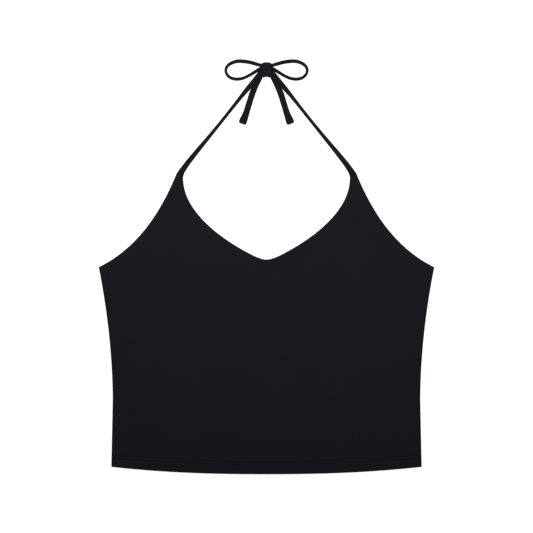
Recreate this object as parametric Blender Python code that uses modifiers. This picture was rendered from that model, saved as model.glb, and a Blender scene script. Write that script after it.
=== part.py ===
"""Halter neck crop top laid flat and face up: a front, a back and two ties tied in a bow.

The model is in metres with +Z up and the neck towards +Y. Sizes and tables are in millimetres.
They are measured from the middle of the line that joins the two underarm corners. The empty
that carries the pieces then puts the world's origin under the middle of the whole top.
"""

import math

import bmesh
import bpy
import numpy as np
from mathutils import Vector
from mathutils.geometry import interpolate_bezier

MM = 0.001
MERGE = 0.0001  # metres, for every modifier that welds points
GAP = 0.3  # between two pieces, at a seam or where one lies on the other

# Outline, laid flat.
CHEST = 400.0  # across, from underarm corner to underarm corner
WAIST = 367.3  # across the narrowest place
WAIST_DROP = 159.0  # from the underarm line down to the narrowest place
SIDE_CURVE = 1.88  # power of the curve from the waist out to the underarm
HEM = 370.0  # across the bottom
HEM_DROP = 246.8  # from the underarm line down to the middle of the hem
HEM_RISE = 8.6  # how far the hem climbs to its corners
HEM_CURVE = 2.35  # power of that climb
BACK_DIP = 8.0  # how far the back's top edge sinks at its middle
NECK_DROP = 9.3  # height of the neckline's lowest point above the underarm line

# Both edges of the front's horn as Bezier knots: x, y, heading in degrees, handle before, after.
NECKLINE = (
    (0.0, NECK_DROP, 0.0, 0.0, 6.0),
    (21.5, 17.1, 28.0, 8.0, 44.0),
    (99.2, 108.2, 92.0, 38.0, 0.0),
)
ARMHOLE = (
    (CHEST / 2, 0.3, 154.0, 0.0, 51.0),
    (107.2, 112.3, 112.0, 50.0, 0.0),
)

# Walls. The front is doubled cloth, and both hems are turned up inside.
FRONT_WALL = 1.6
FRONT_HEM_WALL = 2.2
BACK_WALL = 1.2
BACK_HEM_WALL = 1.8
HEM_BAND = 13.0  # depth of the turned hem
HEM_STEP = 0.8  # over which the turned layer ends
EDGE_RADIUS = 0.5
AIR = FRONT_HEM_WALL - FRONT_WALL + BACK_HEM_WALL - BACK_WALL  # keeps the front level at the hem
SIDE_ROLL = 8.0  # power of the front's curve down to the side seams
ROLL_START = 40.0  # the side's roll grows from nothing to full over this height above the hem
# The front comes down from the swell to the back between the first two distances past the back's
# top edge, and from the back to the table between the other two.
SETTLES = (-45.0, 25.0, 3.0, 48.0)

# Soft swells of the front: x, y, reach along x, reach along y, height.
SWELLS = (
    (108.0, 4.0, 42.0, 46.0, 1.1),
    (0.0, -62.0, 46.0, 40.0, 0.6),
    (139.0, -205.0, 34.0, 26.0, -0.7),
    (92.0, -150.0, 60.0, 30.0, 0.5),
)

FRONT_COLUMNS = 12  # across half of the front
HORN_ROWS = 20
BACK_COLUMNS = 8
BODY_ROWS = 11

# The left tie in three stretches: x, y, underside, width as seen from above, height.
STRAP = (
    (102.9, 110.5, 0.0, 8.2, 2.2),
    (100.4, 115.3, 0.0, 7.5, 2.4),
    (93.7, 124.9, 0.0, 6.3, 2.8),
    (82.1, 139.2, 0.0, 5.5, 3.4),
    (66.4, 158.3, 0.0, 4.4, 4.2),
    (52.8, 175.0, 0.0, 3.9, 4.6),
    (38.6, 192.8, 0.0, 4.1, 4.4),
    (29.0, 204.8, 0.6, 4.9, 3.6),
    (24.0, 210.7, 2.0, 5.7, 3.0),
    (19.3, 216.6, 2.9, 6.0, 2.6),
    (14.1, 222.7, 3.6, 6.2, 2.4),
    (9.8, 228.0, 4.2, 6.6, 2.4),
    (4.5, 233.4, 4.2, 4.4, 2.4),
    (2.9, 236.2, 4.2, 4.0, 2.2),
)
LOOP = (
    (2.6, 240.2, 2.3, 2.6, 4.0),
    (9.0, 241.0, 1.2, 4.6, 5.2),
    (19.1, 244.2, 0.0, 4.4, 5.6),
    (27.5, 245.6, 0.0, 4.5, 5.6),
    (35.5, 245.6, 0.0, 4.4, 5.6),
    (42.9, 243.0, 0.0, 4.2, 5.8),
    (47.4, 238.9, 0.0, 3.6, 6.0),
    (48.6, 234.4, 0.0, 3.3, 6.0),
    (47.0, 229.6, 0.0, 3.4, 6.0),
    (42.4, 225.7, 0.0, 3.8, 5.8),
    (35.5, 224.2, 0.0, 4.0, 5.6),
    (27.5, 225.6, 0.0, 3.8, 5.6),
    (19.1, 229.6, 0.0, 3.8, 5.6),
    (9.4, 235.6, 1.2, 4.8, 5.2),
    (2.6, 235.2, 2.3, 3.0, 4.0),
)
TAIL = (
    (2.9, 234.6, 1.9, 4.0, 2.0),
    (5.4, 231.4, 1.8, 4.6, 2.1),
    (8.5, 226.7, 1.7, 7.2, 2.2),
    (10.0, 223.0, 1.2, 7.5, 2.3),
    (12.3, 218.4, 0.6, 7.5, 2.4),
    (14.2, 214.0, 0.1, 7.5, 2.4),
    (17.3, 206.0, 0.0, 7.5, 2.4),
    (20.5, 195.8, 0.0, 7.4, 2.4),
    (23.3, 186.6, 0.0, 7.4, 2.4),
    (25.5, 180.6, 0.0, 8.4, 2.6),
    (27.3, 176.0, 0.0, 9.3, 2.2),
    (28.2, 172.6, 0.0, 9.4, 2.0),
    (28.6, 170.9, 0.0, 7.6, 1.8),
)
SPAN_STEPS = 2  # sections between two rows of a tie's table
CORE = (0.3, 4.8, 229.3, 241.7, 2.1, 6.7)  # the ties bunched inside the knot: x, y and z from, to
CORE_RADIUS = 1.1

# The knot: a stretch of tie wrapped once round the bow's middle.
KNOT_CENTRE = 235.5  # along Y
KNOT_LENGTH = 17.8  # along Y
KNOT_HEIGHT = 8.9
KNOT_WALL = 1.5
KNOT_FRONT = 13.6  # width of the wrap where it shows on top
KNOT_BEHIND = 7.6  # width at its sides and underneath
KNOT_SECTIONS = 28
KNOT_SQUARENESS = 0.5  # power of the superellipse that the wrap follows

BOW_TOP = 248.1
ORIGIN_HEIGHT = (BOW_TOP - HEM_DROP) / 2

CLOTH = (0.011, 0.012, 0.015, 1.0)


def smoothstep(low, high, value):
    """0 below low, 1 above high, and a soft S between them."""
    share = np.clip((value - low) / (high - low), 0.0, 1.0)
    return share * share * (3.0 - 2.0 * share)


# ---------------------------------------------------------------- outlines


def bezier(knots, samples=48):
    """Close points along the path through the knots."""
    points = []
    for start, end in zip(knots, knots[1:]):
        (x0, y0, turn0, _, reach0), (x1, y1, turn1, reach1, _) = start, end
        first = Vector((x0, y0, 0.0))
        last = Vector((x1, y1, 0.0))
        ahead = Vector((math.cos(math.radians(turn0)), math.sin(math.radians(turn0)), 0.0))
        behind = Vector((math.cos(math.radians(turn1)), math.sin(math.radians(turn1)), 0.0))
        handles = first + ahead * reach0, last - behind * reach1
        points += interpolate_bezier(first, *handles, last, samples)
    return np.array(points)[:, :2]


def at_share(path, share):
    """The point of a path at a share of its length."""
    steps = np.linalg.norm(np.diff(path, axis=0), axis=1)
    reach = np.concatenate(([0.0], np.cumsum(steps))) / steps.sum()
    return np.array([np.interp(share, reach, column) for column in path.T])


NECK_EDGE = bezier(NECKLINE)
ARM_EDGE = bezier(ARMHOLE)


def half_width(y):
    """From the centre line to the side seam at a height."""
    if y > -WAIST_DROP:
        return WAIST / 2 + (CHEST - WAIST) / 2 * (1.0 + y / WAIST_DROP) ** SIDE_CURVE
    below = (-WAIST_DROP - y) / (HEM_DROP - HEM_RISE - WAIST_DROP)
    return WAIST / 2 + (HEM - WAIST) / 2 * below


def hem_line(u):
    """Height of the bottom edge at a share u of the half width."""
    return -HEM_DROP + HEM_RISE * u**HEM_CURVE


def back_top(u):
    """Height of the back's top edge at a share u of the half width."""
    return -BACK_DIP * (1.0 - u * u)


def front_chest(u):
    """The straight row of the front from the neckline's lowest point to the underarm."""
    return NECK_DROP * (1.0 - u)


def between(top, w, u):
    """A point of a body, w of the way from the hem to its top row and u from centre to side."""
    side = hem_line(1.0) * (1.0 - w) + top(1.0) * w
    y = hem_line(u) * (1.0 - w) + top(u) * w
    return u * half_width(side), y


def horn(t, u):
    """A point of the front above the chest row, t of the way up to the tip of the horn."""
    inner = at_share(NECK_EDGE, t)
    outer = at_share(ARM_EDGE, t)
    return tuple(inner + (outer - inner) * u)


def body_rows(depth):
    """Shares of a body's height, close together where the turned hem ends."""
    turned = (HEM_BAND - HEM_STEP / 2) / depth, (HEM_BAND + HEM_STEP / 2) / depth
    return [0.0, *turned, *np.linspace(turned[1], 1.0, BODY_ROWS)[1:]]


# ---------------------------------------------------------------- heights


def swell(x, y):
    """Height that the soft swells add at a point."""
    total = 0.0
    for middle_x, middle_y, reach_x, reach_y, height in SWELLS:
        across = (x - middle_x) / reach_x
        along = (y - middle_y) / reach_y
        total += height * math.exp(-across * across - along * along)
    return total


def front_height(x, y, u, w, t):
    """The front's outer surface: over the back, then down onto the table past its top edge."""
    in_hem = w * HEM_DROP < HEM_BAND
    front_wall = FRONT_HEM_WALL if in_hem else FRONT_WALL
    back_wall = BACK_HEM_WALL if in_hem else BACK_WALL
    above_hem = y - hem_line(u) - HEM_BAND
    roll = u**SIDE_ROLL * smoothstep(0.0, ROLL_START, above_hem)
    air = 0.0 if in_hem else AIR * (1.0 - roll)
    past_back = y - back_top(min(1.0, x / half_width(min(y, 0.0))))
    air *= 1.0 - smoothstep(*SETTLES[:2], past_back)
    raised = (back_wall + GAP) * (1.0 - smoothstep(*SETTLES[2:], past_back))
    free = (1.0 - u**SIDE_ROLL) * (1.0 - min(1.0, 6.0 * t) * (1.0 - u) ** SIDE_ROLL)
    lift = swell(x, y) * free * smoothstep(0.0, ROLL_START, above_hem)
    return front_wall + raised + air + lift


def front_point(row, u):
    """A point of the front; row runs from -1 at the hem through 0 at the chest to 1 at the tip."""
    w, t = min(1.0, 1.0 + row), max(0.0, row)
    x, y = horn(t, u) if t else between(front_chest, w, u)
    return x, y, front_height(x, y, u, w, t)


def back_point(row, u):
    """A point of the back's underside, which lies on the table."""
    x, y = between(back_top, row, u)
    return x * (1.0 - GAP / CHEST), y, 0.0


# ---------------------------------------------------------------- scene


def start():
    """Empties the scene and makes the two collections and the empty that carries the pieces."""
    for item in list(bpy.data.objects):
        bpy.data.objects.remove(item)
    groups = []
    for name in ("halter_top", "tie_stretches"):
        group = bpy.data.collections.new(name)
        bpy.context.scene.collection.children.link(group)
        groups.append(group)
    carrier = bpy.data.objects.new("laid_flat", None)
    carrier.location = (0.0, -ORIGIN_HEIGHT * MM, 0.0)
    groups[0].objects.link(carrier)
    return *groups, carrier


def cloth(name, roughness):
    material = bpy.data.materials.new(name)
    material.use_nodes = True
    shader = material.node_tree.nodes["Principled BSDF"]
    shader.inputs["Base Color"].default_value = CLOTH
    shader.inputs["Roughness"].default_value = roughness
    shader.inputs["Metallic"].default_value = 0.0
    return material


def add_object(name, mesh_data, group, carrier, material=None):
    mesh = bpy.data.meshes.new(name)
    mesh_data.to_mesh(mesh)
    mesh_data.free()
    mesh.shade_smooth()
    if material:
        mesh.materials.append(material)
    item = bpy.data.objects.new(name, mesh)
    item.parent = carrier
    group.objects.link(item)
    return item


# ---------------------------------------------------------------- front and back


def panel(name, rows, columns, point, wall, hem_wall, faces_down, place):
    """Half of a panel as a sheet, then mirrored, given its wall and rounded at its edges."""
    sheet = bmesh.new()
    bmesh.ops.create_grid(sheet, x_segments=columns, y_segments=len(rows) - 1, size=0.5)
    turned = []
    for index, vertex in enumerate(sheet.verts):
        number = round((vertex.co.y + 0.5) * (len(rows) - 1))
        if number < 2:
            turned.append(index)
        vertex.co = Vector(point(rows[number], vertex.co.x + 0.5)) * MM
    if faces_down:
        bmesh.ops.reverse_faces(sheet, faces=sheet.faces)
    item = add_object(name, sheet, *place)
    item.vertex_groups.new(name="turned_hem").add(turned, 1.0, "REPLACE")

    mirror = item.modifiers.new("other_half", "MIRROR")
    mirror.use_clip = True
    mirror.merge_threshold = MERGE

    solid = item.modifiers.new("wall", "SOLIDIFY")
    solid.thickness = hem_wall * MM
    solid.offset = -1.0
    solid.vertex_group = "turned_hem"
    solid.thickness_vertex_group = wall / hem_wall

    rounded = item.modifiers.new("edge", "BEVEL")
    rounded.width = EDGE_RADIUS * MM
    rounded.segments = 2
    rounded.limit_method = "ANGLE"
    rounded.angle_limit = math.radians(60.0)
    return item


def front(place):
    body = [share - 1.0 for share in body_rows(HEM_DROP + NECK_DROP)]
    horns = [(step / HORN_ROWS) ** 1.15 for step in range(1, HORN_ROWS + 1)]
    return panel(
        "front", body + horns, FRONT_COLUMNS, front_point, FRONT_WALL, FRONT_HEM_WALL, False, place
    )


def back(place):
    rows = body_rows(HEM_DROP - BACK_DIP)
    return panel("back", rows, BACK_COLUMNS, back_point, BACK_WALL, BACK_HEM_WALL, True, place)


# ---------------------------------------------------------------- ties


def smooth_rows(table, steps):
    """Rows between the table's rows, on the Catmull-Rom curve through them."""
    rows = np.array(table)
    padded = np.vstack((2 * rows[0] - rows[1], rows, 2 * rows[-1] - rows[-2]))
    out = []
    for before, here, ahead, after in zip(padded, padded[1:], padded[2:], padded[3:]):
        for step in range(steps):
            s = step / steps
            out.append(
                here
                + 0.5 * s * (ahead - before)
                + s * s * (before - 2.5 * here + 2.0 * ahead - 0.5 * after)
                + s * s * s * (1.5 * (here - ahead) + 0.5 * (after - before))
            )
    return np.array([*out, rows[-1]])


def section(width, height):
    """The outline of a tie cut across: a rectangle with round corners, as (across, up)."""
    radius = 0.45 * min(width, height)
    corners = (1, 1), (-1, 1), (-1, -1), (1, -1)
    outline = []
    for quarter, (right, up) in enumerate(corners):
        for part in (0.0, 0.5, 1.0):
            angle = math.radians(90.0 * (quarter + part))
            across = right * (width / 2 - radius) + radius * math.cos(angle)
            rise = up * (height / 2 - radius) + radius * math.sin(angle)
            outline.append((across, rise))
    return outline


def loft(rings, closed):
    """Skins neighbouring rings with four-sided faces. An open loft gets a face at each end."""
    solid = bmesh.new()
    loops = [[solid.verts.new(Vector(point) * MM) for point in ring] for ring in rings]
    pairs = list(zip(loops, loops[1:]))
    if closed:
        pairs.append((loops[-1], loops[0]))
    else:
        solid.faces.new(loops[0])
        solid.faces.new(loops[-1])
    for ring, following in pairs:
        for k in range(len(ring)):
            solid.faces.new((ring[k - 1], ring[k], following[k], following[k - 1]))
    bmesh.ops.recalc_face_normals(solid, faces=solid.faces)
    return solid


def stretch(name, table, side, group, carrier):
    """One stretch of a tie, lofted along its table; side is 1 on the left and -1 on the right."""
    rows = smooth_rows(table, SPAN_STEPS)
    rows[:, 2] = rows[:, 2].clip(min=0.0)  # the curve between rows doesn't dip into the table
    headings = np.gradient(rows[:, :2], axis=0)
    headings /= np.linalg.norm(headings, axis=1)[:, None]
    rings = []
    for (x, y, low, width, height), (along_x, along_y) in zip(rows, headings):
        rings.append(
            [
                (side * (x + along_y * across), y - along_x * across, low + height / 2 + rise)
                for across, rise in section(width, height)
            ]
        )
    item = add_object(name, loft(rings, closed=False), group, carrier)
    item.hide_render = True
    item.display_type = "WIRE"
    return item


def tie(name, side, stretches, place):
    """A whole tie: its three stretches joined to the part of it that is bunched in the knot."""
    low_x, high_x, low_y, high_y, low_z, high_z = CORE
    size = Vector((high_x - low_x, high_y - low_y, high_z - low_z))
    middle = Vector((side * (low_x + high_x), low_y + high_y, low_z + high_z)) / 2
    core = bmesh.new()
    bmesh.ops.create_cube(core, size=1.0)
    bmesh.ops.scale(core, vec=size * MM, verts=core.verts)
    bmesh.ops.translate(core, vec=middle * MM, verts=core.verts)
    item = add_object(name, core, *place)

    rounded = item.modifiers.new("soft_corners", "BEVEL")
    rounded.width = CORE_RADIUS * MM
    rounded.segments = 2

    _, carrier, _ = place
    for label, table in (("strap", STRAP), ("loop", LOOP), ("tail", TAIL)):
        joined = item.modifiers.new(label, "BOOLEAN")
        joined.operation = "UNION"
        joined.object = stretch(f"{name}_{label}", table, side, stretches, carrier)
    return item


def knot(place):
    """The wrap: wide and soft on top, narrow at its sides and under the bow."""
    rings = []
    for number in range(KNOT_SECTIONS):
        angle = 2.0 * math.pi * number / KNOT_SECTIONS
        out_y = math.copysign(abs(math.cos(angle)) ** KNOT_SQUARENESS, math.cos(angle))
        out_z = math.copysign(abs(math.sin(angle)) ** KNOT_SQUARENESS, math.sin(angle))
        on_top = smoothstep(0.3, 1.0, out_z)
        width = KNOT_BEHIND + (KNOT_FRONT - KNOT_BEHIND) * on_top
        ring = []
        for across, depth in section(width, KNOT_WALL):
            inset = KNOT_WALL / 2 - depth
            y = KNOT_CENTRE + out_y * (KNOT_LENGTH / 2 - inset)
            z = KNOT_HEIGHT / 2 + out_z * (KNOT_HEIGHT / 2 - inset)
            ring.append((across, y, z))
        rings.append(ring)
    return add_object("bow_knot", loft(rings, closed=True), *place)


def main():
    top, stretches, carrier = start()
    jersey = cloth("smooth_jersey", 0.75)
    band = cloth("jersey_band", 0.7)
    back((top, carrier, jersey))
    front((top, carrier, jersey))
    tie("tie_left", 1, stretches, (top, carrier, band))
    tie("tie_right", -1, stretches, (top, carrier, band))
    knot((top, carrier, band))


main()
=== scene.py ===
# %% [markdown]
# # A halter neck top, laid flat
#
# This lesson dresses the plain solids of a cropped halter top. The top lies face up on a white
# table: a front that rises to two narrow horns, a back that ends at the underarm line, and two
# narrow ties knotted in a bow. Every step takes its sizes from how such a top is cut and sewn.
# The solids come in first, as a frame that is never moved. Each soft piece then takes the place
# of one of them.

# %% Bring in the frame
import math

import bpy
import numpy as np
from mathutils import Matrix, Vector
from mathutils.geometry import interpolate_bezier


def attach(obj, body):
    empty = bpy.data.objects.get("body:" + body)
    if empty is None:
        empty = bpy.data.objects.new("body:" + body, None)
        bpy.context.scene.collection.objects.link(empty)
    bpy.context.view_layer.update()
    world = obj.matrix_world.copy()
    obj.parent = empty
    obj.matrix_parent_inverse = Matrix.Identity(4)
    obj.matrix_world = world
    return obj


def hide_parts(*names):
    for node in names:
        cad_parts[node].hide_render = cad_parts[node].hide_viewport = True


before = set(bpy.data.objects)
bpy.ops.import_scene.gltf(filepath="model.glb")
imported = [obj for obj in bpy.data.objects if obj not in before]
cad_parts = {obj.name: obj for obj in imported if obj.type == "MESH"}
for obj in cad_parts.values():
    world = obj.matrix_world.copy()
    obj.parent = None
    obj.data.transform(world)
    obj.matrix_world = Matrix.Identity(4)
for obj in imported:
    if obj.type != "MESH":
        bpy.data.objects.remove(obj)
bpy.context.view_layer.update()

MM = 0.001  # one millimetre in the scene's metres
print("solids:", ", ".join(sorted(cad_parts)))

# %% [markdown]
# ## Camera
#
# A top laid flat is shown best from straight above. An orthographic camera would show no depth
# at all, and a short lens would lean the ties outwards. A long lens, far away, keeps the two
# sides of the cloth parallel. The picture takes in the whole top with a margin all round.

# %% Camera straight above the table
PICTURE_WIDTH = 635.7  # of the table that the picture takes in
PICTURE_MIDDLE = 0.2  # along Y
LENS = 200.0
SENSOR = 36.0

camera_data = bpy.data.cameras.new("overhead_camera")
camera_data.lens = LENS
camera_data.sensor_width = SENSOR
camera = bpy.data.objects.new("overhead_camera", camera_data)
camera.location = (0.0, PICTURE_MIDDLE * MM, PICTURE_WIDTH * MM * LENS / SENSOR)
bpy.context.scene.collection.objects.link(camera)
bpy.context.scene.camera = camera
bpy.context.scene.view_settings.view_transform = "Standard"
print(f"camera {camera.location.z:.2f} m above the table")

# %% [markdown]
# ## Colours and nodes
#
# A material is a tree of nodes. It could be laid out by hand in the shader editor, but a tree
# that is built in a script can be read and run again. Two short functions do for all of them.
# One turns the sRGB hex value that a colour picker shows into the linear light that nodes count
# in. The other adds a node with its settings and links.

# %% Helpers for colours and nodes


def linear(hex_colour):
    """An sRGB hex colour as linear red, green, blue and alpha."""
    parts = [int(hex_colour[i : i + 2], 16) / 255.0 for i in (1, 3, 5)]
    return [c / 12.92 if c <= 0.04045 else ((c + 0.055) / 1.055) ** 2.4 for c in parts] + [1.0]


def add_node(tree, kind, inputs=(), **settings):
    """Adds a node. An input takes a value, a socket, or a node for its first output."""
    made = tree.nodes.new(kind)
    for name, value in settings.items():
        setattr(made, name, value)
    for name, value in dict(inputs).items():
        if isinstance(value, bpy.types.Node):
            value = next(socket for socket in value.outputs if socket.enabled)
        if isinstance(value, bpy.types.NodeSocket):
            tree.links.new(value, made.inputs[name])
        else:
            made.inputs[name].default_value = value
    return made


print(f"mid grey, #808080, is {linear('#808080')[0]:.3f} in linear light")

# %% [markdown]
# ## Knit pattern
#
# The cloth is a smooth cotton and elastane single jersey. Its face shows columns of small V
# stitches. A real one has about 18 columns to the centimetre, too fine to see at arm's length, so
# they are drawn at 8 to the centimetre, and faintly. Loops of yarn could be modelled one by one,
# but there are over half a million. Arithmetic on the coordinates gives the pattern instead, and
# stays sharp from near. Each column has two arms with a valley between them, and the rows are
# bent by the distance from the column's middle, which makes the V.

# %% Nodes for the knit
WALE = 1.2  # mm between columns of stitches
COURSE = 0.95  # mm between rows of stitches
V_RISE = 0.9  # how many rows an arm of a V climbs
ROW_RELIEF = 0.3  # the rows' share of the height


def add_knit(tree, place):
    """Height of the stitches, from 0 to 1, where place gives metres across and along."""
    parts = add_node(tree, "ShaderNodeSeparateXYZ", {0: place}).outputs
    across = {0: parts["X"], 1: 1 / (WALE * MM)}
    columns = add_node(tree, "ShaderNodeMath", across, operation="MULTIPLY")
    share = add_node(tree, "ShaderNodeMath", {0: columns}, operation="FRACT")
    side = add_node(tree, "ShaderNodeMath", {0: share, 1: 0.5}, operation="SUBTRACT")
    off = add_node(tree, "ShaderNodeMath", {0: side}, operation="ABSOLUTE")
    turn = add_node(tree, "ShaderNodeMath", {0: off, 1: 2 * math.pi}, operation="MULTIPLY")
    arms = add_node(tree, "ShaderNodeMath", {0: turn}, operation="SINE")
    bend = add_node(tree, "ShaderNodeMath", {0: off, 1: 2 * V_RISE}, operation="MULTIPLY")
    along = {0: parts["Y"], 1: 1 / (COURSE * MM), 2: bend}
    row = add_node(tree, "ShaderNodeMath", along, operation="MULTIPLY_ADD")
    phase = add_node(tree, "ShaderNodeMath", {0: row, 1: 2 * math.pi}, operation="MULTIPLY")
    rows = add_node(tree, "ShaderNodeMath", {0: phase}, operation="SINE")
    level = {0: rows, 1: ROW_RELIEF / 2, 2: 1.0 - ROW_RELIEF / 2}
    relief = add_node(tree, "ShaderNodeMath", level, operation="MULTIPLY_ADD")
    return add_node(tree, "ShaderNodeMath", {0: arms, 1: relief}, operation="MULTIPLY")


print(f"{10 / WALE:.1f} columns and {10 / COURSE:.1f} rows of stitches to the centimetre")

# %% [markdown]
# ## Dyed jersey
#
# The jersey is dyed a cool black, which gives back about 1% of the light. It has no gloss,
# and only a thin bloom of fibre ends that catches light at low angles. That is a high roughness,
# a very low specular level and a little sheen. Real fuzz could be grown as hair, but on cloth
# this dark it wouldn't show. The dye takes unevenly over a hand's width and from fibre to fibre.
# The valleys of the knit are painted darker than its arms, as painted shade. Folded edges, rows
# of stitches and the sides of the ties and the knot are painted darker still, as painted shade,
# and where the cloth puffs up beside a row of stitches it is painted lighter, as a painted
# highlight. The pieces keep a number on their vertices for that, 1 where the shade is painted in
# full and below 0 where a highlight is painted.

# %% The jersey material
CLOTH_COLOUR = "#1a1b20"
# the colour that painted shade darkens the cloth towards
PAINTED_SHADE_COLOUR = "#151619"
BLOOM_COLOUR = "#8a8e9c"
KNIT_SHADE = 0.22  # painted shade: how much darker the valleys of the knit are painted
FIBRE_SHADE = 0.5
DYE_SHADE = 0.16
KNIT_BUMP = 0.06  # mm from the valleys to the arms
DYE_PATCH = 71.4  # mm across a darker or a lighter patch of dye
FIBRE_TUFT = 1.11  # mm across a tuft of fibres; a real one is finer, and wouldn't show
ROUGH_LOWEST = 0.84
ROUGH_SWING = 0.12  # from tuft to tuft


def new_material(name):
    """A material, its node tree and its shader."""
    material = bpy.data.materials.new(name)
    material.use_nodes = True
    return material, material.node_tree, material.node_tree.nodes["Principled BSDF"]


def dyed_jersey(name, pattern_map):
    """Jersey whose pattern follows a UV map, or the piece's own coordinates without one."""
    material, tree, shader = new_material(name)
    place = add_node(tree, "ShaderNodeTexCoord").outputs["Object"]
    if pattern_map:
        place = add_node(tree, "ShaderNodeUVMap", uv_map=pattern_map)
    knit = add_knit(tree, place)
    dye = {"Vector": place, "Scale": 1 / (DYE_PATCH * MM), "Detail": 2.0}
    dye = add_node(tree, "ShaderNodeTexNoise", dye)
    fibres = {"Vector": place, "Scale": 1 / (FIBRE_TUFT * MM), "Detail": 2.0}
    fibres = add_node(tree, "ShaderNodeTexNoise", fibres)

    # Each part swings evenly about its middle, so together they leave the mean colour alone.
    shade = 1.0 - (KNIT_SHADE + FIBRE_SHADE + DYE_SHADE) / 2
    # The knit's part paints its valleys darker, as painted shade; the fibres and the dye vary at
    # random.
    for part, strength in ((knit, KNIT_SHADE), (fibres, FIBRE_SHADE), (dye, DYE_SHADE)):
        sum_of = {0: part, 1: strength, 2: shade}
        shade = add_node(tree, "ShaderNodeMath", sum_of, operation="MULTIPLY_ADD")
    dyed = {0: linear(CLOTH_COLOUR)[:3], "Scale": shade}
    dyed = add_node(tree, "ShaderNodeVectorMath", dyed, operation="SCALE")
    # Painted shade, and below 0 a painted highlight, that each piece keeps on its vertices.
    painted_shading = add_node(tree, "ShaderNodeAttribute", attribute_name="painted_shading").outputs["Fac"]
    # A Mix node takes its two colours at 6 and 7 and gives one at 2. Its factor may be below 0.
    mixed = {0: painted_shading, 6: dyed, 7: linear(PAINTED_SHADE_COLOUR)}
    colour = add_node(tree, "ShaderNodeMix", mixed, data_type="RGBA", clamp_factor=False)
    rough = {0: fibres, 1: ROUGH_SWING, 2: ROUGH_LOWEST}
    rough = add_node(tree, "ShaderNodeMath", rough, operation="MULTIPLY_ADD")
    bump = {"Height": knit, "Distance": KNIT_BUMP * MM, "Strength": 0.6}
    bump = add_node(tree, "ShaderNodeBump", bump)
    tree.links.new(colour.outputs[2], shader.inputs["Base Color"])
    tree.links.new(rough.outputs[0], shader.inputs["Roughness"])
    tree.links.new(bump.outputs[0], shader.inputs["Normal"])
    shader.inputs["Specular IOR Level"].default_value = 0.05
    shader.inputs["Sheen Weight"].default_value = 0.02
    shader.inputs["Sheen Roughness"].default_value = 0.5
    shader.inputs["Sheen Tint"].default_value = linear(BLOOM_COLOUR)
    return material


panel_jersey = dyed_jersey("dyed_cotton_jersey", None)
band_jersey = dyed_jersey("dyed_jersey_band", "band")
print("materials:", panel_jersey.name, band_jersey.name)

# %% [markdown]
# ## Cut
#
# The front and the back are cut on the fold, so one half of each gives the other. An outline
# could be drawn as one long curve, but then every change would mean moving many points. Here the
# edges are worked out from sizes that a cutter would measure, as on a paper pattern: chest, waist
# and hem widths, the drop of the hem, and two curves for each horn. They are in millimetres from
# the middle of the line that joins the two underarm corners.

# %% Sizes of the cut
CHEST = 400.0  # across, from underarm corner to underarm corner
WAIST = 366.7  # across the narrowest place
WAIST_DROP = 159.0  # from the underarm line down to the narrowest place
SIDE_CURVE = 1.88  # power of the curve from the waist out to the underarm
HEM = 370.0  # across the bottom
HEM_DROP = 246.8  # from the underarm line down to the middle of the hem
HEM_RISE = 8.6  # how far the hem climbs to its corners
HEM_CURVE = 2.35  # power of that climb
BACK_DIP = 8.0  # how far the back's top edge sinks at its middle
NECK_DROP = 9.3  # height of the neckline's lowest point above the underarm line

# Both edges of a horn as Bezier knots: x, y, heading in degrees, handle before, handle after.
NECKLINE = (
    (0.0, NECK_DROP, 0.0, 0.0, 6.0),
    (21.5, 17.1, 28.0, 8.0, 44.0),
    (99.2, 108.2, 92.0, 38.0, 0.0),
)
ARMHOLE = (
    (CHEST / 2, 0.3, 154.0, 0.0, 51.0),
    (107.2, 112.3, 112.0, 50.0, 0.0),
)


def half_width(y):
    """From the centre line to the side seam at a height."""
    above = 1.0 + np.clip(y, -WAIST_DROP, 0.0) / WAIST_DROP
    below = np.clip(-WAIST_DROP - y, 0.0, None) / (HEM_DROP - HEM_RISE - WAIST_DROP)
    return WAIST / 2 + (CHEST - WAIST) / 2 * above**SIDE_CURVE + (HEM - WAIST) / 2 * below


def hem_line(u):
    """Height of the bottom edge at a share u of the half width."""
    return -HEM_DROP + HEM_RISE * u**HEM_CURVE


def back_top(u):
    """Height of the back's top edge at a share u of the half width."""
    return -BACK_DIP * (1.0 - u * u)


print(f"half of the chest {half_width(0.0):.1f} mm, of the waist {half_width(-WAIST_DROP):.1f} mm")

# %% [markdown]
# ## Edges drawn in
#
# A sheet with no thickness looks like paper at its edges, so each panel later gets a rounded
# edge. To leave room for it, the panel's grid stops a little inside the cut. Here the curved
# edges of a horn are moved in by that much, and the corner under the arm is trimmed to the side.

# %% The horn's two edges, drawn in
EDGE_ROUND = 0.8  # how far the rounded edge stands out
EDGE_FLAT = 0.9  # flat strip inside it
DRAWN_IN = EDGE_ROUND + EDGE_FLAT


def bezier(knots, samples=240):
    """Close points along the path through the knots."""
    points = []
    for start, end in zip(knots, knots[1:]):
        (x0, y0, turn0, _, reach0), (x1, y1, turn1, reach1, _) = start, end
        first = Vector((x0, y0, 0.0))
        last = Vector((x1, y1, 0.0))
        ahead = Vector((math.cos(math.radians(turn0)), math.sin(math.radians(turn0)), 0.0))
        behind = Vector((math.cos(math.radians(turn1)), math.sin(math.radians(turn1)), 0.0))
        handles = first + ahead * reach0, last - behind * reach1
        points = points[:-1] + interpolate_bezier(first, *handles, last, samples)
    return np.array(points)[:, :2]


def beside(path, distance):
    """The path moved to its left by a distance, or to its right by a negative one."""
    ahead = np.gradient(path, axis=0)
    ahead /= np.linalg.norm(ahead, axis=1)[:, None]
    return path + distance * np.column_stack((-ahead[:, 1], ahead[:, 0]))


def at_share(path, share):
    """The points of a path at shares of its length, as seen from above."""
    steps = np.linalg.norm(np.diff(path[:, :2], axis=0), axis=1)
    reach = np.concatenate(([0.0], np.cumsum(steps))) / steps.sum()
    return np.stack([np.interp(share, reach, column) for column in path.T], axis=-1)


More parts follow.
